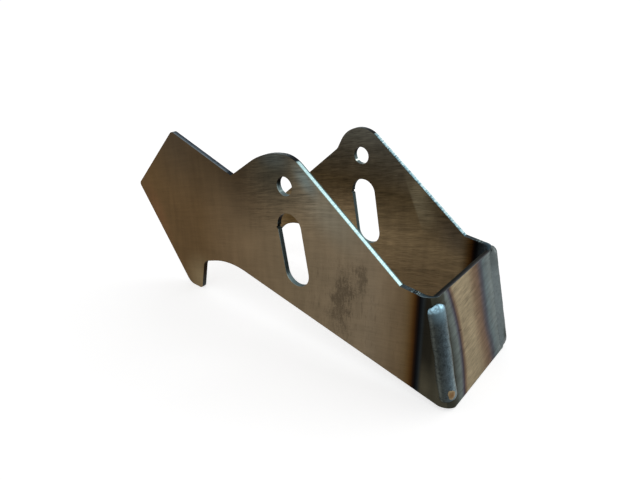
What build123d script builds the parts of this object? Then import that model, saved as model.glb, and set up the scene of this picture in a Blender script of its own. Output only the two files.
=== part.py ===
from build123d import *

import os
from math import cos, radians, sin, tan

# A bracket folded to a U from one laser-cut steel sheet. Two side plates stand on either side of
# a narrow web, one plain and one with an arrow-shaped tail. Both bends were slotted to fold, and
# each slot was closed afterwards by a weld bead laid from outside.
#
# Millimetres, as the bracket rests. +Z is up and +X points out through the web. The origin is on
# the pivot axis, which runs along Y, midway between the plates. The tail plate is on the -Y side.
# Angles are in degrees. Slopes are measured from the horizontal, positive where the edge rises
# towards +X.

# Sheet and channel
SHEET = 3.2  # thickness of the sheet
WIDTH = 76.0  # over the outer faces of both side plates
BEND_INSIDE = 3.2  # inside radius of both bends
WEB_LEAN = 15.57  # the web and its bends lean back from upright by this much
WEB_HEIGHT = 62.3  # height of the web, measured along it
WEB_FOOT_X = 110.3  # lower outer edge of the web, ahead of the pivot
PIVOT_HEIGHT = 96.0  # pivot axis above the surface that the bracket stands on

# Pivot holes and the ears round them
PIVOT_DIAMETER = 11.0
EAR_RADIUS = 17.7
EAR_SLOPE = -36.35  # long front edge, from the ear down to the shoulder
SHOULDER_SLOPE = -5.3  # short edge from the shoulder to the bend

# Adjuster slots
SLOT_WIDTH = 17.7
SLOT_LENGTH = 44.5  # over both rounded ends
SLOT_LEAN = 11.8
SLOT_X = 5.8
SLOT_DROP = 37.3  # slot centre below the pivot axis
PIERCE_DIAMETER = 1.8  # nick that the laser left where it broke into each slot

# Lower edge and hook, the same on both plates, and the open notch between them
LOWER_SLOPE = -11.36
NOTCH_X = -63.2  # a point on the crest of the notch
NOTCH_RISE = 28.0  # height of that point above the surface that the bracket stands on
NOTCH_SLOPE = 20.6
NOTCH_ARC = 52.0  # radius from the crest into the lower edge
NOTCH_FILLET = 7.0
PLAIN_NOTCH_ROUND = 28.0  # the plain plate's notch is one arc from hook to lower edge
HOOK_FRONT_X = -80.1  # foot of the hook's front edge
HOOK_FRONT_SLOPE = 78.0
HOOK_FRONT_ROUND = 3.0
HOOK_BACK_X = -92.7  # foot of the hook's back edge
HOOK_BACK_SLOPE = -53.93
HOOK_BACK_ROUND = 8.0

# Tail plate only: crown of the ear, valley behind it and the arrow-shaped tail
CROWN_SLOPE = 5.6
CROWN_RADIUS = 46.0
VALLEY_X = -42.6
VALLEY_DROP = 3.7
VALLEY_ROUND = 1.0
TAIL_EAR_SLOPE = 36.1  # back of the ear, down to the valley
TAIL_TOP_SLOPE = -17.8
TAIL_BACK_SLOPE = 45.8
TAIL_PEAK_X = -95.9
TAIL_PEAK_ROUND = 3.5
TAIL_POINT_ROUND = 2.5

# Plain plate only: back of the ear and the straight edge behind it
PLAIN_EAR_SLOPE = 64.6
PLAIN_BACK_X = -37.0  # a point on the back edge
PLAIN_BACK_DROP = 15.5
PLAIN_BACK_SLOPE = 42.6
PLAIN_THROAT = 6.0  # hollow round between the ear and the back edge
PLAIN_CORNER_ROUND = 4.0

# Weld beads and the slots in the bends that they close
BEAD_START = 5.9  # lower end of each bead, above the web's lower edge
TAIL_BEAD_STOP = 2.8  # this bead ends short of the web's upper edge
PLAIN_BEAD_OVERRUN = 1.2  # this one runs on past it
BEAD_WIDTH = 11.2  # measured round the bend
BEAD_HEIGHT = 2.3  # above the outside of the bend
BEAD_ANGLE = 65.0  # middle of the bead, counted round the bend from the side plate
BEAD_END_ROUND = 2.4
GAP_WIDTH = 3.0
GAP_INSET = 3.0  # each bead runs past its slot by this much at both ends

TAIL_BEAD_LENGTH = WEB_HEIGHT - BEAD_START - TAIL_BEAD_STOP
PLAIN_BEAD_LENGTH = WEB_HEIGHT - BEAD_START + PLAIN_BEAD_OVERRUN
BEND_OUTSIDE = BEND_INSIDE + SHEET
GROUND = -PIVOT_HEIGHT
WEB_FOOT_Z = GROUND + SHEET * sin(radians(WEB_LEAN))  # the web stands on its inner lower edge
OVERCUT = 1.0  # how far a cutting tool runs past the material
CUTTER_SPARE = 5.0  # degrees by which a bend's edge cutters pass both of its ends


def meet(point_a, slope_a, point_b, slope_b):
    """Where two lines of the side view cross, each given by a point and its slope."""
    ax, az = cos(radians(slope_a)), sin(radians(slope_a))
    bx, bz = cos(radians(slope_b)), sin(radians(slope_b))
    gap_x, gap_z = point_b[0] - point_a[0], point_b[1] - point_a[1]
    along = (gap_x * bz - gap_z * bx) / (ax * bz - az * bx)
    return (point_a[0] + along * ax, point_a[1] + along * az)


def ear_tangent(slope):
    """Point of the ear's circle where its tangent has this slope."""
    normal = radians(slope + 90)
    return (EAR_RADIUS * cos(normal), EAR_RADIUS * sin(normal))


def on_web(rise, depth):
    """Point of the side view at a height along the web and a depth behind its outer face."""
    lean = radians(WEB_LEAN)
    return (
        WEB_FOOT_X - rise * sin(lean) - depth * cos(lean),
        WEB_FOOT_Z + rise * cos(lean) - depth * sin(lean),
    )


# At the bends the plates' edges are a little above the web's, because they slope down to it.
LOWER_RISE = BEND_OUTSIDE * tan(radians(WEB_LEAN - LOWER_SLOPE))
UPPER_RISE = BEND_OUTSIDE * tan(radians(WEB_LEAN - SHOULDER_SLOPE))


def front_corners():
    """Corners from the bend's foot to the shoulder, the same on both plates."""
    bend_foot = on_web(LOWER_RISE, BEND_OUTSIDE)
    bend_head = on_web(WEB_HEIGHT + UPPER_RISE, BEND_OUTSIDE)
    shoulder = meet(bend_head, SHOULDER_SLOPE, ear_tangent(EAR_SLOPE), EAR_SLOPE)
    return [(bend_foot, 0), (bend_head, 0), (shoulder, 0)]


def hook_corners(notch):
    """Corners from the hook's back edge to the lower edge, round the given notch."""
    hook_back = (HOOK_BACK_X, GROUND)
    hook_front = (HOOK_FRONT_X, GROUND)
    return [(hook_back, HOOK_BACK_ROUND), (hook_front, HOOK_FRONT_ROUND), *notch]


def tail_notch():
    """Corners of the tail plate's notch: a tight round, then a long rise and fall."""
    crest = (NOTCH_X, GROUND + NOTCH_RISE)
    near_hook = meet((HOOK_FRONT_X, GROUND), HOOK_FRONT_SLOPE, crest, NOTCH_SLOPE)
    far_end = meet(crest, NOTCH_SLOPE, on_web(LOWER_RISE, BEND_OUTSIDE), LOWER_SLOPE)
    return [(near_hook, NOTCH_FILLET), (far_end, NOTCH_ARC)]


def plain_notch():
    """Corner of the plain plate's notch, which is a single arc."""
    lower_edge = on_web(LOWER_RISE, BEND_OUTSIDE)
    corner = meet((HOOK_FRONT_X, GROUND), HOOK_FRONT_SLOPE, lower_edge, LOWER_SLOPE)
    return [(corner, PLAIN_NOTCH_ROUND)]


def tail_corners():
    """Corners from the ear round the arrow-shaped tail."""
    crown = ear_tangent(CROWN_SLOPE)
    valley = (VALLEY_X, -VALLEY_DROP)
    ear_front = meet(ear_tangent(EAR_SLOPE), EAR_SLOPE, crown, CROWN_SLOPE)
    ear_back = meet(crown, CROWN_SLOPE, valley, TAIL_EAR_SLOPE)
    peak = meet(valley, TAIL_TOP_SLOPE, (TAIL_PEAK_X, 0), 90)
    point = meet(peak, TAIL_BACK_SLOPE, (HOOK_BACK_X, GROUND), HOOK_BACK_SLOPE)
    return [
        (ear_front, EAR_RADIUS),
        (ear_back, CROWN_RADIUS),
        (valley, VALLEY_ROUND),
        (peak, TAIL_PEAK_ROUND),
        (point, TAIL_POINT_ROUND),
    ]


def plain_corners():
    """Corners from the ear down the straight back edge of the plate without a tail."""
    ear_back = ear_tangent(PLAIN_EAR_SLOPE)
    back_edge = (PLAIN_BACK_X, -PLAIN_BACK_DROP)
    ear_top = meet(ear_tangent(EAR_SLOPE), EAR_SLOPE, ear_back, PLAIN_EAR_SLOPE)
    throat = meet(ear_back, PLAIN_EAR_SLOPE, back_edge, PLAIN_BACK_SLOPE)
    corner = meet(back_edge, PLAIN_BACK_SLOPE, (HOOK_BACK_X, GROUND), HOOK_BACK_SLOPE)
    return [(ear_top, EAR_RADIUS), (throat, PLAIN_THROAT), (corner, PLAIN_CORNER_ROUND)]


def rounded_face(corners):
    """Side view of a plate, from its corners and the radius that rounds each of them."""
    points = [(x, 0, z) for (x, z), _ in corners]
    radii = [radius for _, radius in corners]
    return make_face(FilletPolyline(points, radius=radii, close=True))


def side_plate(corners, outer_y):
    """Plate of the given outline, with its outer face at outer_y."""
    inward = -1 if outer_y > 0 else 1
    return extrude(Pos(0, outer_y, 0) * rounded_face(corners), SHEET, (0, inward, 0))


def web():
    """Flat web between the two bends, in the web's frame."""
    flat_width = WIDTH - 2 * BEND_OUTSIDE
    return Box(SHEET, flat_width, WEB_HEIGHT, align=(Align.MAX, Align.CENTER, Align.MIN))


def edge_cutter(rise, direction):
    """Cutter that leaves a bend's edge square to the sheet, with its foot at the web's edge.

    The edge climbs by rise from the web round to the plate. direction is 1 above it, -1 below.
    """
    pitch = 4 * rise
    height = pitch * (90 + 2 * CUTTER_SPARE) / 360
    radii = (BEND_INSIDE - OVERCUT, BEND_OUTSIDE + OVERCUT)
    inner, outer = [
        Edge.make_helix(pitch, height, radius, lefthand=True).edges()[0] for radius in radii
    ]
    ramp = Face.make_surface_from_curves(inner, outer)
    start = Pos(0, 0, -pitch * CUTTER_SPARE / 360) * Rot(0, 0, CUTTER_SPARE)
    return start * extrude(ramp, BEND_OUTSIDE + rise, (0, 0, direction))


def bend():
    """Bend between the web and the tail plate, in a frame on the bend's own axis."""
    quadrant = Pos(0, -BEND_OUTSIDE) * Rectangle(
        BEND_OUTSIDE, BEND_OUTSIDE, align=(Align.MIN, Align.MIN)
    )
    section = (Circle(BEND_OUTSIDE) - Circle(BEND_INSIDE)) & quadrant
    blank = Pos(0, 0, -OVERCUT) * extrude(section, WEB_HEIGHT + UPPER_RISE + 2 * OVERCUT)
    upper = Pos(0, 0, WEB_HEIGHT) * edge_cutter(UPPER_RISE, 1)
    return blank - edge_cutter(LOWER_RISE, -1) - upper


def facing_bead(shape):
    """Turns a shape built along X until it points out through the middle of the bead."""
    return Rot(0, 0, BEAD_ANGLE - 90) * shape


def gap(bead_length):
    """Slot that was cut along the bend, in the frame of the bend's axis."""
    length = bead_length - 2 * GAP_INSET
    low_corner = (Align.MIN, Align.CENTER, Align.MIN)
    slot = Box(BEND_OUTSIDE + OVERCUT, GAP_WIDTH, length, align=low_corner)
    return facing_bead(Pos(0, 0, BEAD_START + GAP_INSET) * slot)


def bead_cap(length):
    """Bar of weld metal that stands out of the bend, in the frame of the bend's axis."""
    half_angle = BEAD_WIDTH / 2 / BEND_OUTSIDE
    toe_x, toe_y = BEND_OUTSIDE * cos(half_angle), BEND_OUTSIDE * sin(half_angle)
    crown_x = BEND_OUTSIDE + BEAD_HEIGHT
    rise = crown_x - toe_x
    radius = (toe_y**2 + rise**2) / (2 * rise)
    bar = extrude(Circle(radius), length)
    bar = fillet(bar.edges().filter_by(GeomType.CIRCLE), BEAD_END_ROUND)
    bar = facing_bead(Pos(crown_x - radius, 0, BEAD_START) * bar)
    return bar - extrude(Circle(BEND_OUTSIDE), WEB_HEIGHT + UPPER_RISE)


def place_bend(shape):
    """Moves a shape from the frame of the bend's axis to the tail side of the bracket."""
    return at_web(Pos(-BEND_OUTSIDE, BEND_OUTSIDE - WIDTH / 2) * shape)


def at_web(shape):
    """Moves a shape from the web's frame, which has its origin at the foot and Z along it."""
    lean = radians(WEB_LEAN)
    outward = (cos(lean), 0, sin(lean))
    upward = (-sin(lean), 0, cos(lean))
    return Plane(origin=(WEB_FOOT_X, 0, WEB_FOOT_Z), x_dir=outward, z_dir=upward).location * shape


def through_both(sketch):
    """Cutter with this side view, right through both plates."""
    return extrude(Plane.XZ * sketch, WIDTH / 2 + OVERCUT, both=True)


def adjuster_slot():
    """Side view of an adjuster slot with the nick beside its upper end."""
    half_pitch = (SLOT_LENGTH - SLOT_WIDTH) / 2
    slot = Rot(0, 0, 90) * SlotOverall(SLOT_LENGTH, SLOT_WIDTH)
    nick = Pos(-SLOT_WIDTH / 2, half_pitch) * Circle(PIERCE_DIAMETER / 2)
    return Pos(SLOT_X, -SLOT_DROP) * Rot(0, 0, SLOT_LEAN) * (slot + nick)


def bracket_body():
    """The folded sheet before its bends are slotted."""
    tail_outline = front_corners() + tail_corners() + hook_corners(tail_notch())
    plain_outline = front_corners() + plain_corners() + hook_corners(plain_notch())
    tail_plate = side_plate(tail_outline, -WIDTH / 2)
    plain_plate = side_plate(plain_outline, WIDTH / 2)
    body = tail_plate + at_web(web()) + plain_plate
    tail_bend = place_bend(bend())
    body += tail_bend + mirror(tail_bend, Plane.XZ)
    body -= through_both(Circle(PIVOT_DIAMETER / 2))
    return body - through_both(adjuster_slot())


def main():
    whole = bracket_body()
    parts = {"bracket_body": whole}
    tail_side = [place_bend(gap(TAIL_BEAD_LENGTH)), place_bend(bead_cap(TAIL_BEAD_LENGTH))]
    plain_side = [place_bend(gap(PLAIN_BEAD_LENGTH)), place_bend(bead_cap(PLAIN_BEAD_LENGTH))]
    plain_side = [mirror(shape, Plane.XZ) for shape in plain_side]
    for name, (slot, cap) in (("tail_side_weld", tail_side), ("plain_side_weld", plain_side)):
        parts["bracket_body"] -= slot
        parts[name] = (whole & slot) + (cap - whole)
    os.makedirs("parts", exist_ok=True)
    for name, shape in parts.items():
        export_step(shape, f"parts/{name}.step")


if __name__ == "__main__":
    main()
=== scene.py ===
from math import cos, pi, radians, sin, sqrt

import bpy
from mathutils import Matrix, Vector, noise


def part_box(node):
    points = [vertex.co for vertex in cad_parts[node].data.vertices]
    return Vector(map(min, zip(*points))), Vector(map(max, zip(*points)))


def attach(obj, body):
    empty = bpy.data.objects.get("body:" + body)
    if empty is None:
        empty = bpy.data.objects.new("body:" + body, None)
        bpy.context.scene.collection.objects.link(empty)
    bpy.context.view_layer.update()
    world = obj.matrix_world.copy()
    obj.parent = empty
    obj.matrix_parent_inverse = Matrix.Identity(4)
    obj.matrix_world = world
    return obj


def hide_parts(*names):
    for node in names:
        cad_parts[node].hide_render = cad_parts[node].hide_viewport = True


# A folded steel bracket on a white floor: brushed sheet with laser-cut edges, and a weld bead
# with its heat tint along each bend. Lengths in this script are in millimetres, in the CAD's
# frame, and become metres where an object is made. Lights and the camera are in metres.
#
# A point of the folded sheet is given by three lengths. Its depth is out through the web, from 0
# on the web's outer face. Its rise is up along the web, from the web's lower edge. Its place along
# the unfolded sheet is negative on a side plate, runs from 0 to BEND_ARC round the outside of a
# bend, and goes on to the middle of the web. The tail side has the side plate with the tail, at
# -Y, and the plain side has the one at +Y.

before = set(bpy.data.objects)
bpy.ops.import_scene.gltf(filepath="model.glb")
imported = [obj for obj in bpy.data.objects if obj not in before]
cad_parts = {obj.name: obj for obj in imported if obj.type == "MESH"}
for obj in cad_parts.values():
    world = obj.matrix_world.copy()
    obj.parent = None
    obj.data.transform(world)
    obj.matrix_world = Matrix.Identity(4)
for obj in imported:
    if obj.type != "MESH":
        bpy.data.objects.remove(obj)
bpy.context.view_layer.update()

MM = 0.001
lowest, highest = ([round(c / MM, 3) for c in corner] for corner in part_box("bracket_body"))

# The sheet, as the CAD has it. The pivot axis runs through the origin.
SHEET = 3.2
BEND_OUTSIDE = 6.4
WEB_LEAN = radians(15.57)
WEB_HEIGHT = 62.3
EAR_SLOPE = radians(36.35)  # fall of the long front edges, from ear to shoulder
PIVOT = (0, 0, 0)
SLOT_CENTRE = (5.8, 0, -37.3)
SLOT_LEAN = radians(11.8)
GAP_LOW = 8.9  # lower end of the gap in each bend
GAP_WIDTH = 3.0
GAP_TURN = radians(65)  # middle of the gap, round the bend from the side plate

# Worked out from the frame and from the sheet
HALF_WIDTH = highest[1]
FLOOR_Z = lowest[2]
WEB_FOOT = Vector((highest[0], 0, FLOOR_Z + SHEET * sin(WEB_LEAN)))  # on the web's outer face
MID_SHEET = HALF_WIDTH - SHEET / 2  # half the distance between the middles of the side plates
FLAT_HALF = HALF_WIDTH - BEND_OUTSIDE  # half the web's flat width
BEND_ARC = BEND_OUTSIDE * pi / 2  # length round the outside of a bend
OUTWARD = Vector((cos(WEB_LEAN), 0, sin(WEB_LEAN)))  # normal of the web
UPWARD = Vector((-sin(WEB_LEAN), 0, cos(WEB_LEAN)))  # up along the web, across the grain
EDGE_NORMAL = Vector((sin(EAR_SLOPE), 0, cos(EAR_SLOPE)))  # of the long front edges
EDGE_DOWN = Vector((cos(EAR_SLOPE), 0, -sin(EAR_SLOPE)))  # down along them

# Borders between kinds of cut edge, along EDGE_DOWN from the pivot axis
TAIL_BORDER = -36.0
HOOK_BORDER = -10.0
SHOULDER_BORDER = 85.5

# Radii of ellipses that go round the openings and leave out all other edges
ROUND_HOLE = (7.5, 7.5)
ROUND_SLOT = (13, 26)

BRUSH_SLANT = 0.12  # how far the brush lines climb per millimetre across the web
BRUSH_STRETCH = 0.07  # their rate of change along their length, as a share of the one across

ANY = 1e6  # radius of an ellipse along an axis that it ignores
WHITE = (1, 1, 1, 1)


def srgb(red, green, blue):
    """Linear colour, from the 0 to 255 values that a screen shows."""
    values = [v / 255 for v in (red, green, blue)]
    linear = [v / 12.92 if v <= 0.04045 else ((v + 0.055) / 1.055) ** 2.4 for v in values]
    return (*linear, 1.0)


# ---------------------------------------------------------------- node helpers


class Shader:
    """The node tree of a material or a world, built by short calls that take and return sockets."""

    def __init__(self, owner, output="ShaderNodeOutputMaterial"):
        self.owner = owner
        owner.use_nodes = True
        self.tree = owner.node_tree
        self.tree.nodes.clear()
        self.output = self.tree.nodes.new(output)

    def node(self, kind, inputs=(), **settings):
        """New node, with its inputs by name or number and its settings by name."""
        made = self.tree.nodes.new(kind)
        for key, value in settings.items():
            setattr(made, key, value)
        for key, value in dict(inputs).items():
            self.feed(made.inputs[key], value)
        return made

    def feed(self, socket, value):
        """Gives a socket a link or a constant."""
        if isinstance(value, bpy.types.NodeSocket):
            self.tree.links.new(value, socket)
        else:
            socket.default_value = value

    def math(self, operation, *values):
        made = self.node("ShaderNodeMath", operation=operation)
        for socket, value in zip(made.inputs, values):
            self.feed(socket, value)
        return made.outputs[0]

    def plus(self, a, b):
        return self.math("ADD", a, b)

    def minus(self, a, b):
        return self.math("SUBTRACT", a, b)

    def times(self, product, *factors):
        for factor in factors:
            product = self.math("MULTIPLY", product, factor)
        return product

    def larger(self, a, b):
        return self.math("MAXIMUM", a, b)

    def below(self, a, b):
        return self.math("LESS_THAN", a, b)

    def above(self, a, b):
        return self.math("GREATER_THAN", a, b)

    def vector(self, operation, *values):
        made = self.node("ShaderNodeVectorMath", operation=operation)
        for socket, value in zip(made.inputs, values):
            self.feed(socket, value)
        gives_number = operation in ("DOT_PRODUCT", "LENGTH", "DISTANCE")
        return made.outputs["Value" if gives_number else 0]

    def dot(self, a, b):
        return self.vector("DOT_PRODUCT", a, b)

    def scaled(self, value, factor):
        """Vector or colour times a number."""
        made = self.node("ShaderNodeVectorMath", operation="SCALE")
        self.feed(made.inputs[0], value)
        self.feed(made.inputs["Scale"], factor)
        return made.outputs[0]

    def combine(self, x, y, z):
        """Vector from three numbers."""
        return self.node("ShaderNodeCombineXYZ", {"X": x, "Y": y, "Z": z}).outputs[0]

    def split(self, vector):
        """The three numbers of a vector."""
        return self.node("ShaderNodeSeparateXYZ", {"Vector": vector}).outputs

    def place(self):
        """The shaded point in millimetres."""
        return self.scaled(self.node("ShaderNodeTexCoord").outputs["Object"], 1 / MM)

    def step(self, value, low, high):
        """0 on low's side and 1 on high's side, smooth between them. low may be the larger."""
        made = self.node(
            "ShaderNodeMapRange",
            {"Value": value, "From Min": low, "From Max": high},
            interpolation_type="SMOOTHSTEP",
        )
        return made.outputs[0]

    def remap(self, value, low, high, to_low, to_high):
        """to_low up to low and to_high from high on, in a straight line between them."""
        made = self.node("ShaderNodeMapRange", {"Value": value})
        for socket, v in zip(made.inputs[1:5], (low, high, to_low, to_high)):
            self.feed(socket, v)
        return made.outputs[0]

    def ramp(self, value, low, high, *stops):
        """Colour along value, from stops of place, red, green and blue between low and high."""
        made = self.node("ShaderNodeValToRGB")
        band = made.color_ramp
        while len(band.elements) < len(stops):
            band.elements.new(0.5)
        for element, (place, *colour) in zip(band.elements, stops):
            element.position = (place - low) / (high - low)
            element.color = srgb(*colour)
        self.feed(made.inputs[0], self.remap(value, low, high, 0.0, 1.0))
        return made.outputs[0]

    def mix(self, share, a, b):
        """Colour a, going over to b as share goes from 0 to 1."""
        made = self.node("ShaderNodeMix", data_type="RGBA")
        for socket, value in zip((made.inputs[0], made.inputs[6], made.inputs[7]), (share, a, b)):
            self.feed(socket, value)
        return made.outputs[2]

    def noise(self, place, scale, detail=2.0, rough=0.5):
        """Noise from 0 to 1, about 0.5 on average."""
        inputs = {"Vector": place, "Scale": scale, "Detail": detail, "Roughness": rough}
        return self.node("ShaderNodeTexNoise", inputs).outputs[0]

    def signed_noise(self, place, scale, detail=2.0, rough=0.5):
        """The same, about 0 on average."""
        return self.minus(self.noise(place, scale, detail, rough), 0.5)

    def radii_away(self, place, centre, radii, turn):
        """Distance from the centre of an ellipse in its radii, so 1 on its rim."""
        made = self.node(
            "ShaderNodeMapping",
            {"Vector": place, "Location": centre, "Rotation": turn, "Scale": radii},
            vector_type="TEXTURE",
        )
        return self.vector("LENGTH", made.outputs[0])

    def spot(self, place, x, z, radius_x, radius_z, turn=0.0):
        """Seen from the side: 1 at the middle of an ellipse, fading to 0 at its rim."""
        away = self.radii_away(place, (x, 0, z), (radius_x, ANY, radius_z), (0, turn, 0))
        return self.step(away, 1.0, 0.0)

    def patch(self, across, rise, centre, radii, turn=0.0):
        """The same, but on a face that is given by a length across it and a rise."""
        place = self.combine(across, rise, 0.0)
        away = self.radii_away(place, (*centre, 0), (*radii, ANY), (0, 0, turn))
        return self.step(away, 1.0, 0.0)

    def spotted(self, face, place, *spots):
        """The face's colour with spots over it: x, z, radii, turn, share, red, green and blue."""
        for x, z, radius_x, radius_z, turn, most, *colour in spots:
            share = self.times(self.spot(place, x, z, radius_x, radius_z, turn), most)
            face = self.mix(share, face, srgb(*colour))
        return face

    def seen(self):
        """1 for rays of the camera, also mirrored or through glass, and 0 for light that spreads."""
        path = self.node("ShaderNodeLightPath").outputs
        mirrored = self.larger(path["Is Camera Ray"], path["Is Glossy Ray"])
        return self.larger(mirrored, path["Is Transmission Ray"])

    def end(self, shader):
        """Ends the tree with a shader."""
        self.feed(self.output.inputs[0], shader.outputs[0])

    def shade(self, colour, **sockets):
        """Ends the tree with a Principled shader, and returns the material."""
        names = {key.replace("_", " "): value for key, value in sockets.items()}
        self.end(self.node("ShaderNodeBsdfPrincipled", {"Base Color": colour, **names}))
        return self.owner


class BendPoint:
    """Where the shaded point is, on the folded sheet or close to it. Each value is a socket."""

    def __init__(self, sh):
        self.place = sh.place()
        self.x, self.y, self.z = sh.split(self.place)
        self.aside = sh.math("ABSOLUTE", self.y)
        from_foot = sh.vector("SUBTRACT", self.place, WEB_FOOT)
        self.depth = sh.dot(from_foot, OUTWARD)
        self.rise = sh.dot(from_foot, UPWARD)

        # From the bend's own axis, along the web's normal and along the side plate's
        self.ahead = sh.plus(self.depth, BEND_OUTSIDE)
        self.beside = sh.minus(self.aside, FLAT_HALF)
        self.on_plate = sh.larger(sh.times(self.ahead, -1.0), 0.0)
        on_web = sh.larger(sh.times(self.beside, -1.0), 0.0)
        turned = sh.math("ARCTAN2", sh.larger(self.ahead, 0.0), sh.larger(self.beside, 0.0))
        arc = sh.times(turned, BEND_OUTSIDE)
        self.along = sh.plus(sh.minus(arc, self.on_plate), on_web)


class SheetPoint(BendPoint):
    """The same for the sheet's own material, with shares from 0 to 1 for what it belongs to."""

    def __init__(self, sh):
        super().__init__(sh)
        self.normal = sh.node("ShaderNodeNewGeometry").outputs["Normal"]
        self.normal_x, _, self.normal_z = sh.split(self.normal)
        self.is_plate = sh.above(self.on_plate, 0.001)
        self.is_web = sh.above(self.along, 5.0)  # from about the middle of a bend
        self.plain_side = sh.step(self.y, -2.0, 2.0)
        outmost = sh.larger(self.aside, sh.plus(self.depth, HALF_WIDTH))
        self.inside = sh.below(outmost, MID_SHEET)


# ---------------------------------------------------------------- the sheet's faces


def plate_colour(sh, at):
    """Outer faces of the side plates: warm brown, greyer and darker over the ears, which is painted
    shade and painted reflection.
    """
    # Warmer and darker towards the tail, lighter in the middle and darker again at the far end: partly
    # the sheet's tone, partly painted light
    face = sh.ramp(
        at.x,
        -130,
        100,
        (-125, 94, 73, 47),
        (-75, 93, 73, 48),
        (-45, 109, 90, 66),
        (5, 114, 99, 77),
        (60, 118, 104, 84),
        (86, 92, 73, 48),
    )
    return sh.spotted(
        face,
        at.place,
        # Painted shade over the tail's top, the valley and the ear's left, and a painted grey reflection
        # over the ear
        (-92, 14, 52, 56, 0.0, 0.95, 73, 61, 46),
        (-40, 6, 58, 58, 0.0, 0.95, 56, 45, 31),
        (-6, 10, 36, 36, 0.0, 0.95, 58, 56, 46),
        (-8, 16, 20, 11, 0.0, 0.8, 74, 78, 74),
        # Painted light over the hook, and a warmer patch at the tail's end
        (-76, -92, 26, 30, 0.0, 0.85, 136, 120, 90),
        (-122, -48, 12, 34, -0.45, 0.7, 106, 76, 50),
        # A painted highlight along the bright edge, and a painted sheen by the ear's crown
        (31, -7, 36, 20, 0.62, 0.85, 119, 113, 97),
        (15, 7, 15, 8, 0.75, 0.9, 104, 114, 110),
    )


def inner_colour(sh, at):
    """Faces inside the channel."""
    face = sh.ramp(
        at.z,
        -96,
        20,
        (-90, 96, 78, 54),
        (-48, 124, 106, 78),
        (-20, 96, 82, 58),
        (12, 106, 104, 94),
    )
    face = sh.spotted(
        face,
        at.place,
        (-8, -46, 30, 26, 0.0, 0.8, 142, 122, 92),
        (58, -74, 44, 30, 0.0, 0.7, 92, 76, 54),
        (70, -34, 26, 18, 0.62, 0.7, 90, 82, 70),
        (-61, -60, 24, 17, 0.0, 0.98, 88, 69, 40),
    )
    # A painted reflection of the light that comes over the other plate's edge: a lighter spot that ends
    # sharply on one side, next to the upper edge
    past_its_side = sh.step(sh.dot(at.place, (0.894, 0, 0.449)), 25.0, 26.8)
    share = sh.times(past_its_side, sh.spot(at.place, 44, -19, 16, 26, -0.46), 0.95)
    return sh.mix(share, face, srgb(130, 120, 96))


def smudges(sh, at):
    """Share of the dark wisps rubbed onto the tail side's plate, short strokes across the grain."""

    def strokes(rate_x, rate_z, layer, detail, rough):
        place = sh.combine(sh.times(at.x, rate_x), layer, sh.times(at.z, rate_z))
        return sh.noise(place, 1.0, detail, rough)

    wisps = strokes(0.8, 0.2, 0.0, 3.0, 0.65)
    dashes = strokes(0.9, 1.3, 3.0, 2.0, 0.6)
    shift = sh.remap(sh.noise(at.place, 0.11), 0.3, 0.7, -4.0, 4.0)
    moved = sh.vector("ADD", at.place, sh.combine(shift, 0.0, 0.0))
    most_rubbed = sh.larger(
        sh.spot(moved, 40.5, -58, 14, 42, 0.1),
        sh.spot(moved, 52.5, -38, 8, 19, -0.05),
    )
    both = sh.plus(sh.times(wisps, 0.6), sh.times(dashes, 0.4))
    share = sh.step(sh.plus(both, sh.times(most_rubbed, 0.32)), 0.56, 0.84)
    share = sh.times(share, sh.spot(at.place, 44, -52, 60, 75))

    hairs = sh.step(strokes(1.1, 0.14, 7.0, 2.0, 0.6), 0.56, 0.68)
    hairs = sh.times(hairs, sh.spot(at.place, 40, -62, 62, 52), 0.55)
    share = sh.larger(share, hairs)
    for x, z, radius_x, radius_z in (
        (54.3, -57, 0.7, 5),
        (62.7, -58, 0.6, 4.5),
        (24, -45, 0.8, 4),
        (25, -65, 0.9, 3.5),
    ):
        single = sh.times(sh.spot(at.place, x, z, radius_x, radius_z), 0.6)
        share = sh.larger(share, single)
    return share


def plate_tint(sh, at):
    """Heat tint on a side plate and its share. A dark line runs nearer to the bend higher up."""
    line = sh.plus(sh.minus(15.0, sh.times(at.rise, 0.235)), sh.times(at.plain_side, 4.0))
    past = sh.minus(sh.times(at.along, -1.0), line)
    tint = sh.ramp(
        past,
        -14,
        12,
        (-13, 60, 58, 48),
        (-8, 31, 29, 22),
        (-3.5, 27, 25, 19),
        (-2, 31, 35, 36),
        (-1, 16, 19, 22),
        (0, 4, 4, 6),
        (1.3, 26, 12, 3),
        (2.8, 62, 38, 11),
        (4.6, 82, 60, 32),
        (8, 95, 78, 52),
    )
    slate = sh.times(at.plain_side, sh.step(past, -1.0, -4.0))
    tint = sh.mix(slate, tint, srgb(42, 50, 55))
    paler = sh.patch(at.along, at.rise, (-7.0, 13.0), (12, 22))
    paler = sh.times(paler, sh.step(past, -1.5, -4.0), 0.95)
    tint = sh.mix(paler, tint, srgb(70, 66, 53))
    return tint, sh.step(past, 11.0, 4.0)


def web_tint_tail_side(sh, at):
    """Heat tint on the web's tail-side half and its share. Its border bows out at mid-height."""
    from_middle = sh.minus(at.rise, 28.0)
    border = sh.minus(25.0, sh.times(from_middle, from_middle, 0.0045))
    past = sh.minus(at.along, border)
    tint = sh.ramp(
        past,
        -14,
        6,
        (-13, 44, 44, 38),
        (-10.5, 52, 56, 52),
        (-7.5, 76, 84, 82),
        (-3.6, 96, 106, 104),
        (-1.8, 82, 86, 92),
        (-0.3, 58, 52, 62),
        (1.3, 100, 84, 70),
        (3.4, 132, 115, 92),
    )
    return tint, sh.step(past, 4.6, 1.8)


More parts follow.
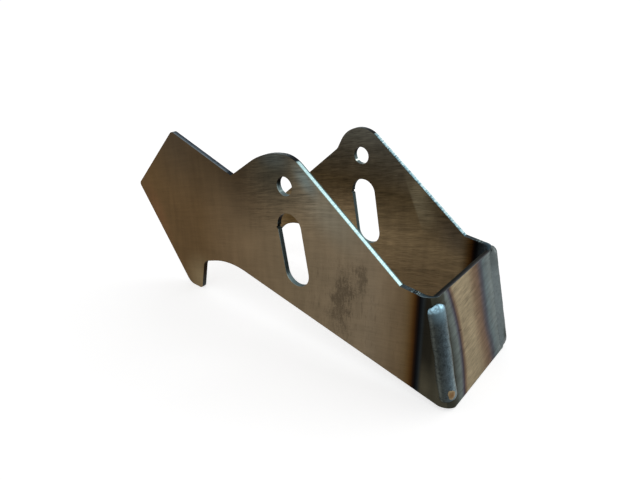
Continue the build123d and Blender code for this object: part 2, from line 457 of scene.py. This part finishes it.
def web_tint_plain_side(sh, at):
    """Heat tint on the web's plain-side half and its share. It is wider and fades more slowly."""
    border = sh.remap(sh.step(at.rise, 6.0, 26.0), 0.0, 1.0, 25.3, 28.3)
    past = sh.minus(at.along, border)
    tint = sh.ramp(
        past,
        -14,
        16,
        (-12, 114, 124, 124),
        (-6, 94, 108, 111),
        (-2.5, 72, 77, 85),
        (0, 82, 76, 79),
        (3, 104, 86, 74),
        (7, 114, 96, 78),
        (11, 122, 105, 85),
        (15, 132, 115, 93),
    )
    return tint, sh.step(past, 18.0, 6.0)


def heat_tint(sh, at):
    """Colour beside the beads, and its share over the sheet's own colour."""
    plate, plate_share = plate_tint(sh, at)
    tail, tail_share = web_tint_tail_side(sh, at)
    plain, plain_share = web_tint_plain_side(sh, at)
    tint = sh.mix(at.is_web, plate, sh.mix(at.plain_side, tail, plain))
    share = sh.mix(at.is_web, plate_share, sh.mix(at.plain_side, tail_share, plain_share))

    # Painted shade in the groove on the web, close beside the tail side's bead
    toe_shade = sh.step(at.along, 15.6, 14.0)
    toe_shade = sh.times(toe_shade, sh.remap(sh.step(at.rise, 20.0, 44.0), 0.0, 1.0, 0.35, 0.75))
    toe_shade = sh.times(toe_shade, sh.minus(at.is_web, at.plain_side))
    return sh.mix(toe_shade, tint, srgb(50, 52, 44)), share


def brushing(sh, at):
    """Fine and coarse brush lines along the unfolded sheet, so across UPWARD."""
    waver = sh.times(sh.noise(at.place, 0.03, 1.0), 2.0)
    across = sh.minus(sh.plus(at.rise, waver), sh.times(at.y, BRUSH_SLANT))
    lines = sh.combine(sh.times(at.depth, BRUSH_STRETCH), sh.times(at.y, BRUSH_STRETCH), across)
    return sh.signed_noise(lines, 1.7, 3.0, 0.7), sh.signed_noise(lines, 0.5, 2.0, 0.6)


def face_colour(sh, at, fine, coarse):
    """Faces of the sheet, with the brush lines in them."""
    plate = sh.mix(at.inside, plate_colour(sh, at), inner_colour(sh, at))
    # The web's outer face is painted lighter than the side plates, which is painted light; its inner
    # face is darker
    web = sh.mix(at.inside, srgb(141, 129, 105), srgb(120, 104, 80))
    face = sh.mix(sh.step(at.along, 2.0, 12.0), plate, web)
    rubbed = sh.times(smudges(sh, at), sh.below(at.y, -MID_SHEET), 0.62)
    face = sh.mix(rubbed, face, srgb(58, 49, 38))
    tint, share = heat_tint(sh, at)
    face = sh.mix(share, face, tint)

    # The brush lines show most inside, on the web and over the ears
    ear = sh.remap(sh.spot(at.place, -4, 0, 50, 42), 0.0, 0.6, 0.25, 1.0)
    show = sh.larger(sh.larger(at.inside, at.is_web), ear)
    gain = sh.times(sh.plus(sh.times(fine, 1.9), sh.times(coarse, 0.9)), show)
    tall = sh.combine(sh.times(at.x, 0.24), sh.times(at.y, 0.24), sh.times(at.z, 0.035))
    mottle = sh.signed_noise(tall, 1.0)
    cloud = sh.signed_noise(at.place, 0.05)
    gain = sh.plus(gain, sh.times(mottle, 0.36))
    gain = sh.plus(gain, sh.times(cloud, 0.35))
    face = sh.scaled(face, sh.larger(sh.plus(gain, 1.0), 0.2))

    # A short scratch on the web's outer face
    scratch = sh.patch(at.y, at.rise, (-16.3, 36.4), (3.6, 0.5), -0.36)
    scratch = sh.times(scratch, sh.above(at.depth, -1.0), 0.8)
    return sh.mix(scratch, face, srgb(44, 36, 26))


# ---------------------------------------------------------------- the sheet's cut edges


def is_cut(sh, at):
    """1 on cut edges and 0 on the sheet's faces, by the way they face."""
    sideways = sh.math("ABSOLUTE", sh.dot(at.normal, (0, 1, 0)))
    uphill = sh.math("ABSOLUTE", sh.dot(at.normal, UPWARD))
    of_plate = sh.times(at.is_plate, sh.minus(1.0, sideways))
    of_web = sh.times(sh.minus(1.0, at.is_plate), uphill)
    return sh.step(sh.plus(of_plate, of_web), 0.35, 0.75)


def bright_edges(sh, at, lines):
    """The long front edges, painted near white as a painted reflection of the light: a clean cut on the
    tail side and a rough one on the plain side.
    """
    outer = sh.step(at.aside, 34.6, 38.2)
    rough_cut = sh.ramp(
        sh.plus(lines, sh.times(outer, 0.22)),
        0.3,
        0.9,
        (0.38, 44, 62, 72),
        (0.52, 92, 122, 132),
        (0.64, 146, 178, 186),
        (0.82, 190, 206, 208),
    )
    rough_cut = sh.mix(sh.step(at.aside, 35.5, 35.1), rough_cut, srgb(36, 48, 52))
    clean_cut = sh.ramp(lines, 0.2, 0.8, (0.3, 150, 184, 188), (0.6, 178, 208, 210))
    clean_cut = sh.mix(sh.step(at.aside, 35.7, 35.3), clean_cut, srgb(70, 88, 88))
    clean_cut = sh.mix(sh.step(at.aside, 37.4, 37.8), clean_cut, srgb(104, 120, 116))
    return sh.mix(at.plain_side, clean_cut, rough_cut)


def dark_edges(sh, at, lines, facing, run):
    """The other edges, with painted light and shade by the way they face, flecked from the shoulder on,
    and lined on the tail.
    """
    dark = sh.ramp(
        facing,
        -1.0,
        1.0,
        (-0.9, 30, 24, 16),
        (0.2, 44, 44, 40),
        (0.75, 84, 98, 102),
        (0.9, 40, 48, 54),
        (0.97, 20, 26, 30),
    )
    speckle = sh.times(lines, sh.noise(at.place, 0.9, 3.0, 0.7))
    dark = sh.scaled(dark, sh.remap(speckle, 0.12, 0.42, 0.55, 1.7))
    flecks = sh.ramp(speckle, 0.1, 0.45, (0.17, 24, 34, 40), (0.27, 48, 60, 64), (0.36, 132, 150, 152))
    dark = sh.mix(sh.step(run, SHOULDER_BORDER - 1.5, SHOULDER_BORDER + 1.5), dark, flecks)

    tail_top = sh.times(sh.step(run, TAIL_BORDER + 2, TAIL_BORDER - 2), sh.step(facing, 0.5, 0.8))
    tail = sh.ramp(at.aside, 34.0, 38.0, (35.2, 52, 62, 72), (36.6, 72, 84, 94), (37.6, 104, 114, 120))
    return sh.mix(tail_top, dark, sh.scaled(tail, sh.remap(lines, 0.3, 0.7, 0.7, 1.3)))


def web_rim(sh, at):
    """Share and colour of the web's upper edge: dark inside, grey towards its outer face."""
    near_top = sh.step(at.rise, WEB_HEIGHT - 1.3, WEB_HEIGHT - 0.3)
    rim = sh.ramp(
        at.depth,
        -3.4,
        0.2,
        (-3.1, 32, 38, 38),
        (-2.0, 26, 31, 32),
        (-1.3, 50, 53, 57),
        (-0.7, 58, 62, 67),
        (-0.15, 102, 108, 110),
    )
    return sh.times(near_top, sh.step(at.depth, -5.0, -3.0)), rim


def bend_rim(sh, at):
    """Share and colour of the upper edge round a bend: blue-grey, with a light line outside."""
    radius = sh.vector("LENGTH", sh.combine(at.ahead, at.beside, 0.0))
    rim = sh.ramp(
        radius,
        3.0,
        6.6,
        (3.3, 30, 38, 42),
        (4.4, 46, 62, 70),
        (5.6, 58, 76, 86),
        (6.2, 104, 120, 126),
    )
    corner = sh.times(sh.step(at.beside, -1.5, 0.5), sh.step(at.ahead, -1.5, 0.5))
    return sh.times(corner, sh.above(at.rise, 40.0)), rim


def opening_walls(sh, at):
    """Share and colour of the walls of holes and slots: painted light where they face up and painted
    shade where they face down, with nicks.
    """

    def within(centre, radii, lean):
        away = sh.radii_away(at.place, centre, (radii[0], ANY, radii[1]), (0, lean, 0))
        return sh.below(away, 1.0)

    here = sh.larger(within(PIVOT, ROUND_HOLE, 0), within(SLOT_CENTRE, ROUND_SLOT, -SLOT_LEAN))
    wall = sh.ramp(
        at.normal_z,
        -1.0,
        1.0,
        (-0.3, 8, 9, 8),
        (0.1, 42, 50, 50),
        (0.6, 84, 98, 100),
        (0.95, 92, 108, 110),
    )
    # A painted highlight along the walls' outer rim
    rim_highlight = sh.times(sh.step(at.aside, 37.5, 37.8), sh.step(at.normal_z, -0.3, 0.0))
    wall = sh.mix(rim_highlight, wall, srgb(118, 132, 130))
    # Painted shade in the nick by the slot's upper end
    nick_shade = sh.step(sh.spot(at.place, -6.6, -25.6, 2.6, 2.6), 0.0, 0.4)
    wall = sh.mix(nick_shade, wall, srgb(14, 17, 15))
    # Painted glints by the nick and in the hole
    wall_glint = sh.mix(at.plain_side, srgb(112, 128, 126), srgb(235, 250, 242))
    for x, z in ((-6.4, -27.4), (1.6, -5.3), (-3.9, -3.9)):
        wall = sh.mix(sh.spot(at.place, x, z, 0.9, 0.9), wall, wall_glint)
    return here, wall


def cut_colour(sh, at):
    """Cut edges: dark grey-blue, painted near white where they face the light, teal in the openings."""
    facing = sh.dot(at.normal, EDGE_NORMAL)
    run = sh.dot(at.place, EDGE_DOWN)
    lines = sh.noise(sh.combine(run, sh.times(at.y, 0.12), sh.times(at.z, 0.1)), 1.5, 2.0, 0.7)
    dark = dark_edges(sh, at, lines, facing, run)
    cut = sh.mix(sh.step(facing, 0.986, 0.996), dark, bright_edges(sh, at, lines))
    for share, colour in (web_rim(sh, at), bend_rim(sh, at), opening_walls(sh, at)):
        cut = sh.mix(share, cut, colour)

    hook_front = sh.times(sh.step(at.normal_x, 0.6, 0.9), sh.step(run, HOOK_BORDER + 5, HOOK_BORDER - 5))
    return sh.mix(hook_front, cut, srgb(30, 21, 10))


def brushed_sheet():
    """The whole folded sheet, its faces and its cut edges."""
    sh = Shader(bpy.data.materials.new("brushed_sheet"))
    at = SheetPoint(sh)
    fine, coarse = brushing(sh, at)
    colour = sh.mix(is_cut(sh, at), face_colour(sh, at, fine, coarse), cut_colour(sh, at))
    bump = {"Strength": 0.3, "Distance": 0.03 * MM, "Height": sh.plus(fine, coarse)}
    return sh.shade(
        colour,
        Metallic=0.85,
        Specular_IOR_Level=0.25,
        Specular_Tint=(0.5, 0.47, 0.44, 1),
        Roughness=sh.remap(fine, -0.2, 0.2, 0.34, 0.46),
        Anisotropic=0.5,
        Tangent=sh.combine(*UPWARD),
        Normal=sh.node("ShaderNodeBump", bump).outputs[0],
    )


# ---------------------------------------------------------------- weld metal


def weld_material(name, shades, end_highlight, uneven, low_gain):
    """Weld metal, its shades in order across the bead, and the colour of its upper end, a painted
    highlight on the tail side.

    Where the shades differ, they are painted light and shade across the bead.

    uneven is how strongly it is mottled, and low_gain how much lighter its lower half is.
    """
    sh = Shader(bpy.data.materials.new(name))
    at = BendPoint(sh)
    fine = sh.noise(at.place, 1.3, 4.0, 0.7)
    broad = sh.noise(at.place, 0.45)
    shade_places = (1.4, 2.4, 3.4, 5.6, 7.4, 9.0, 10.4, 11.6, 12.4)
    across = sh.minus(at.along, sh.times(at.rise, 0.02))
    colour = sh.ramp(across, 0.0, 14.0, *((place, *shade) for place, shade in zip(shade_places, shades)))

    # Mottled, and lighter or darker in its lower half
    gain = sh.plus(sh.times(sh.minus(fine, 0.5), 2.3 * uneven), 1.05)
    gain = sh.plus(sh.times(sh.minus(broad, 0.5), 1.5 * uneven), gain)
    gain = sh.plus(gain, sh.times(sh.step(at.rise, 32.0, 14.0), low_gain))
    colour = sh.scaled(colour, gain)
    pits = sh.step(sh.noise(sh.vector("ADD", at.place, (40, 0, 0)), 0.75, 1.0), 0.4, 0.32)
    colour = sh.mix(sh.times(pits, 0.5 * uneven), colour, srgb(24, 32, 34))

    # Towards the upper end the colour goes over to the painted highlight, dimmed at first and then in
    # painted glints, weaker on the left flank
    flank = sh.remap(sh.step(at.along, 3.0, 8.5), 0.0, 1.0, 0.25, 1.0)
    dimmed = (*(0.45 * v for v in end_highlight[:3]), 1.0)
    colour = sh.mix(sh.times(flank, 0.55, sh.step(at.rise, 47.0, 57.0)), colour, dimmed)
    glints = sh.remap(sh.step(sh.noise(at.place, 0.6, 1.0), 0.4, 0.62), 0.0, 1.0, 0.35, 1.0)
    glints = sh.times(glints, sh.step(at.along, 12.5, 9.0), sh.step(at.rise, 55.0, 58.0))
    colour = sh.mix(glints, colour, end_highlight)

    # The plain side's bead is darker in a spot near its lower end
    low_dark_spot = sh.patch(at.along, at.rise, (8.6, 8.5), (2.6, 8.0))
    colour = sh.mix(sh.times(low_dark_spot, sh.above(at.y, 0.0), 0.85), colour, srgb(34, 38, 28))

    bump = {"Strength": 0.7, "Distance": 0.16 * MM * uneven, "Height": fine}
    return sh.shade(
        colour,
        Metallic=0.75,
        Specular_IOR_Level=0.25,
        Specular_Tint=(0.5, 0.5, 0.5, 1),
        Roughness=sh.remap(broad, 0.3, 0.7, 0.26, 0.42),
        Normal=sh.node("ShaderNodeBump", bump).outputs[0],
    )


def slag_material(middle):
    """Amber in the middle of the drop, paler at its rim."""
    sh = Shader(bpy.data.materials.new("slag"))
    place = sh.place()
    out = sh.plus(sh.vector("DISTANCE", place, middle), sh.noise(place, 0.9))
    colour = sh.ramp(out, 0.0, 4.0, (0.8, 118, 78, 22), (1.8, 130, 98, 48), (2.8, 150, 130, 94))
    return sh.shade(colour, Roughness=0.22, Specular_IOR_Level=0.35)


# ---------------------------------------------------------------- shapes


def mesh_object(name, points, faces, material, smooth=True):
    """Object from points in millimetres."""
    mesh = bpy.data.meshes.new(name)
    mesh.from_pydata([p * MM for p in points], [], faces)
    mesh.update()
    made = bpy.data.objects.new(name, mesh)
    bpy.context.scene.collection.objects.link(made)
    mesh.materials.append(material)
    for polygon in mesh.polygons:
        polygon.use_smooth = smooth
    return made


def tube(loops, flip, first=0):
    """Faces of a closed body through loops of points, whose first point has the number first.

    flip reverses them, for loops with which they would point inwards.
    """
    n = len(loops[0])
    faces = []
    for low in range(first, first + (len(loops) - 1) * n, n):
        high = low + n
        for k in range(n):
            m = (k + 1) % n
            faces.append((low + k, low + m, high + m, high + k))
    last = first + (len(loops) - 1) * n
    faces.append(tuple(reversed(range(first, first + n))))
    faces.append(tuple(range(last, last + n)))
    return [face[::-1] for face in faces] if flip else faces


def flat(loops):
    """All points of the loops in order."""
    return [point for loop in loops for point in loop]


def clamped(value, low, high):
    return max(low, min(high, value))


def smooth_least(a, b, blend):
    """The lesser of two values, rounded off where they are closer than blend."""
    share = clamped(0.5 + 0.5 * (b - a) / blend, 0.0, 1.0)
    return b + (a - b) * share - blend * share * (1 - share)


def bend_point(along, rise, height, side):
    """Point above the outside of a bend: along the unfolded sheet, up the web, off the sheet."""
    if along < 0:
        depth, aside, normal = -BEND_OUTSIDE + along, HALF_WIDTH, (0.0, 1.0)
    elif along < BEND_ARC:
        turn = along / BEND_OUTSIDE
        depth = BEND_OUTSIDE * (sin(turn) - 1)
        aside = FLAT_HALF + BEND_OUTSIDE * cos(turn)
        normal = (sin(turn), cos(turn))
    else:
        depth, aside, normal = 0.0, FLAT_HALF - (along - BEND_ARC), (1.0, 0.0)
    depth += normal[0] * height
    aside += normal[1] * height
    return WEB_FOOT + OUTWARD * depth + UPWARD * rise + Vector((0, side * aside, 0))


class Bead:
    """Weld bead over one bend, filling the gap in the bend behind it.

    side is -1 or 1, as Y is. The bead runs from start to end up the web, and its middle goes from
    low_middle to high_middle along the unfolded sheet. fall is 0.5 for a round section, and 1 for
    one that falls off evenly to the toes. A place on it has t from -1 to 1 across the bead.
    """

    END_LENGTH = 3.6  # over which each end rounds off
    SLOPE_LENGTH = 14.0  # over which the upper end slopes down towards the web
    RIPPLE_PITCH = 1.5
    RIPPLE_HEIGHT = 0.03
    RIPPLE_BOW = 1.5  # how much lower a ripple's ends lie than its middle
    LUMP_HEIGHT = 0.09
    UNDERSIDE = -0.6  # height of the hidden side
    PAST_PLATE = 0.08  # furthest that it comes past the outer plane of the side plate
    BEHIND_FOOT = 0.05  # nearest that it comes to the upright plane through the web's foot
    PAST_GAP = 3.0  # how far the bead goes on above the gap
    ROOT_OUTSIDE = 5.7  # radii of the gap's filling, the outer one hidden under the bead
    ROOT_INSIDE = 3.25
    ROOT_CROWN = 0.4
    ROWS = 220
    ACROSS = 36
    ROOT_ROWS = 60
    ROOT_ACROSS = 8

    def __init__(self, side, start, end, low_middle, high_middle, half_width, crown, fall, seed):
        self.side, self.start, self.end = side, start, end
        self.low_middle, self.high_middle, self.half_width = low_middle, high_middle, half_width
        self.crown, self.fall, self.seed = crown, fall, seed

    def wander(self, rise, rate, row):
        """Uneven value from -1 to 1 up the bead, its own for each row."""
        return noise.noise(Vector((self.seed + 17 * row, rise * rate, 0)))

    def taper(self, rise, length):
        """1 along the bead, rounding off to 0 over a length at each end."""
        to_end = clamped(min(rise - self.start, self.end - rise) / length, 0.0, 1.0)
        return sqrt(1 - (1 - to_end) ** 2)

    def along(self, t, rise, half_width):
        """Place along the unfolded sheet."""
        share = (rise - self.start) / (self.end - self.start)
        middle = self.low_middle + (self.high_middle - self.low_middle) * share
        middle += 0.5 * self.wander(rise, 0.08, 0)
        return middle + half_width * t * (0.55 + 0.45 * self.taper(rise, self.END_LENGTH))

    def height(self, t, rise):
        """Height off the sheet, with bowed ripples and with lumps."""
        body = max(0.0, 1 - t * t) ** self.fall
        high = self.crown * body * (1 + 0.06 * self.wander(rise, 0.15, 1))
        crest = rise + self.RIPPLE_BOW * t * t + 0.5 * self.wander(rise, 0.3, 2)
        ripple = self.RIPPLE_HEIGHT * sin(crest * 2 * pi / self.RIPPLE_PITCH)
        lump = self.LUMP_HEIGHT * noise.noise(Vector((t * 4.2, rise * 0.55, self.seed)))
        return (high + body * (ripple + lump)) * self.taper(rise, self.END_LENGTH)

    def surface(self, t, rise, lift=0.0):
        """Point of the bead's surface, or above it."""
        along = self.along(t, rise, self.half_width * (1 + 0.04 * self.wander(rise, 0.2, 3)))
        high = self.height(t, rise) + lift
        if rise > (self.start + self.end) / 2:
            rise -= (1.7 * t * t + 0.7 * t) * (1 - self.taper(rise, self.SLOPE_LENGTH))

        # Two planes keep it low: the side plate's outer one, and the upright one at the web's foot
        turn = clamped(along / BEND_OUTSIDE, 0.0, 1.25)
        room = (BEND_OUTSIDE + self.PAST_PLATE) / cos(turn) - BEND_OUTSIDE
        high = smooth_least(high, room, 0.5)
        deepest = (-UPWARD.x * rise - self.BEHIND_FOOT) / OUTWARD.x
        facing = sin(min(along / BEND_OUTSIDE, pi / 2)) if along > 0 else 0.01
        high = min(high, (deepest + BEND_OUTSIDE * (1 - facing)) / max(facing, 0.01))
        return bend_point(along, rise, high, self.side)

    def hidden(self, t, rise):
        """Point of the side that lies within the sheet."""
        return bend_point(self.along(t, rise, self.half_width), rise, self.UNDERSIDE, self.side)

    def cap_loop(self, i):
        """Points across the surface and back underneath, closer together near edges and ends."""
        rise = self.start + (self.end - self.start) * (0.5 - 0.5 * cos(pi * i / self.ROWS))
        across = [sin((2 * j / self.ACROSS - 1) * pi / 2) for j in range(self.ACROSS + 1)]
        over = [self.surface(t, rise) for t in across]
        under = [self.hidden(0.98 * t, rise) for t in reversed(across)]
        return over + under

    def root_loop(self, i):
        """Points round the gap's filling, which stands a little proud inside the bend."""
        rise = GAP_LOW + (self.end - self.PAST_GAP - GAP_LOW) * i / self.ROOT_ROWS
        section = [(self.ROOT_OUTSIDE, -1), (self.ROOT_OUTSIDE, 1)]
        for k in range(self.ROOT_ACROSS + 1):
            t = 1 - 2 * k / self.ROOT_ACROSS
            proud = self.ROOT_CROWN * (1 - t * t) * (1 + 0.4 * self.wander(rise, 0.5, 4 + t))
            section.append((self.ROOT_INSIDE - proud, t))
        loop = []
        for radius, t in section:
            turn = GAP_TURN + GAP_WIDTH / 2 * t / radius
            loop.append(bend_point(turn * BEND_OUTSIDE, rise, radius - BEND_OUTSIDE, self.side))
        return loop

    def mesh(self, name, material):
        """Object with the bead and the gap's filling as two closed bodies."""
        cap = [self.cap_loop(i) for i in range(self.ROWS + 1)]
        root = [self.root_loop(i) for i in range(self.ROOT_ROWS + 1)]
        flip = self.side > 0
        faces = tube(cap, flip) + tube(root, flip, first=len(flat(cap)))
        return mesh_object(name, flat(cap + root), faces, material)


def slag_island(bead, t_middle, rise_middle, half_t, half_rise, thickness, sunk, material):
    """Glassy drop on a bead: a dome of a thickness, and a hidden side that is sunk in the bead."""
    rings, spokes = 7, 28
    dome = [(i + 0.5) / rings for i in range(rings)]
    hidden = [1 - (i + 1.5) / rings for i in range(rings - 1)]
    lifts = [thickness * sqrt(1 - size * size) for size in dome] + [-sunk] * len(hidden)
    loops = []
    for size, lift in zip(dome + hidden, lifts):
        loop = []
        for k in range(spokes):
            turn = 2 * pi * k / spokes
            wobble = 1 + 0.1 * sin(3 * turn + 1) + 0.05 * sin(7 * turn)
            t = t_middle + half_t * size * wobble * cos(turn)
            rise = rise_middle + half_rise * size * wobble * sin(turn)
            loop.append(bead.surface(t, rise, lift))
        loops.append(loop)
    return mesh_object("slag_island", flat(loops), tube(loops, bead.side < 0), material)


# ---------------------------------------------------------------- the bracket

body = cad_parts["bracket_body"]
body.data.materials.clear()
body.data.materials.append(brushed_sheet())

# Across the tail side's bead: painted shade on its left flank, a painted highlight right of its crown,
# and painted shade in the groove at its right toe
tail_light_and_shade = (
    (40, 40, 34),
    (66, 70, 66),
    (44, 48, 46),
    (48, 56, 59),
    (68, 81, 87),
    (100, 114, 118),
    (100, 106, 104),
    (62, 66, 62),
    (34, 36, 32),
)
plain_shades = ((101, 110, 111),) * 9
# The tail side's bead ends in a pale blue painted highlight; the plain side's keeps its own colour there
tail_weld = weld_material("weld_metal_tail_side", tail_light_and_shade, srgb(170, 214, 234), 1.0, 0.42)
plain_weld = weld_material("weld_metal_plain_side", plain_shades, srgb(104, 112, 112), 0.3, -0.12)
tail_bead = Bead(
    side=-1,
    start=5.3,
    end=59.5,
    low_middle=7.1,
    high_middle=8.2,
    half_width=5.7,
    crown=2.3,
    fall=0.6,
    seed=11.0,
)
plain_bead = Bead(
    side=1,
    start=1.5,
    end=63.5,
    low_middle=7.3,
    high_middle=7.3,
    half_width=6.2,
    crown=2.3,
    fall=1.2,
    seed=23.0,
)
for bead, name, node, weld in (
    (tail_bead, "tail_side_bead", "tail_side_weld", tail_weld),
    (plain_bead, "plain_side_bead", "plain_side_weld", plain_weld),
):
    piece = bead.mesh(name, weld)
    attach(piece, "root")
    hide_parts(node)

drop_t, drop_rise = -0.06, 10.2
slag = slag_island(
    tail_bead,
    drop_t,
    drop_rise,
    half_t=0.3,
    half_rise=2.9,
    thickness=0.34,
    sunk=0.25,
    material=slag_material(tail_bead.surface(drop_t, drop_rise)),
)
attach(slag, "root")

# ---------------------------------------------------------------- floor, light and camera

FLOOR_HALF = 40000.0  # half of the floor's width
FLOOR_GREY = 0.55
FLOOR_GLOW = 0.65
WORLD_LIGHT = 0.7
LIT_POINT = Vector((0, 0, -0.04))  # what the lamps point at
CAMERA_AT = Vector((0.182337, -0.236022, 0.102178))
CAMERA_TARGET = Vector((-0.004983, 0.0, -0.048464))
CAMERA_ROLL = radians(0.763)
CAMERA_LENS = 29.746
SENSOR_WIDTH = 36.0


def white_world():
    """White where it is seen, and a little dimmer as a light."""
    world = bpy.data.worlds.new("studio")
    bpy.context.scene.world = world
    sh = Shader(world, "ShaderNodeOutputWorld")
    light = sh.node("ShaderNodeBackground", {"Color": WHITE, "Strength": WORLD_LIGHT})
    sight = sh.node("ShaderNodeBackground", {"Color": WHITE, "Strength": 1.0})
    sh.end(sh.node("ShaderNodeMixShader", {0: sh.seen(), 1: light.outputs[0], 2: sight.outputs[0]}))


def floor():
    """Pale floor that also glows where it is seen, so that it is white but takes soft shadows."""
    corners = ((-1, -1), (1, -1), (1, 1), (-1, 1))
    points = [Vector((x * FLOOR_HALF, y * FLOOR_HALF, FLOOR_Z)) for x, y in corners]
    sh = Shader(bpy.data.materials.new("floor"))
    paint = sh.node("ShaderNodeBsdfDiffuse", {"Color": (FLOOR_GREY, FLOOR_GREY, FLOOR_GREY, 1)})
    strength = sh.times(sh.seen(), FLOOR_GLOW)
    glow = sh.node("ShaderNodeEmission", {"Color": WHITE, "Strength": strength})
    sh.end(sh.node("ShaderNodeAddShader", {0: paint.outputs[0], 1: glow.outputs[0]}))
    made = mesh_object("floor", points, [(0, 1, 2, 3)], sh.owner, smooth=False)


def linked(name, data, at, rotation):
    """Object for a lamp or a camera, in the scene and in its place."""
    made = bpy.data.objects.new(name, data)
    bpy.context.scene.collection.objects.link(made)
    made.location = at
    made.rotation_mode = "QUATERNION"
    made.rotation_quaternion = rotation
    return made


def looking(at, target):
    """Rotation that points a lamp or a camera at a target."""
    return (target - at).to_track_quat("-Z", "Y")


def area_light(name, at, width, height, watts):
    """Soft lamp that points at the bracket."""
    lamp = bpy.data.lights.new(name, "AREA")
    lamp.shape = "RECTANGLE"
    lamp.size, lamp.size_y, lamp.energy = width, height, watts
    linked(name, lamp, at, looking(Vector(at), LIT_POINT))


def photo_camera():
    """The camera that took the photo, as fitted to it."""
    data = bpy.data.cameras.new("camera")
    data.sensor_width = SENSOR_WIDTH
    data.lens = CAMERA_LENS
    data.clip_start, data.clip_end = 0.01, 100.0
    roll = Matrix.Rotation(CAMERA_ROLL, 3, "Z").to_quaternion()
    rotation = looking(CAMERA_AT, CAMERA_TARGET) @ roll
    bpy.context.scene.camera = linked("camera", data, CAMERA_AT, rotation)


white_world()
floor()
area_light("window", at=(0.42, 0.95, 0.79), width=0.5, height=0.4, watts=1.6)
area_light("side_softbox", at=(1.0, 0.9, 0.35), width=0.5, height=0.6, watts=2.0)
photo_camera()
bpy.context.scene.view_settings.view_transform = "Standard"
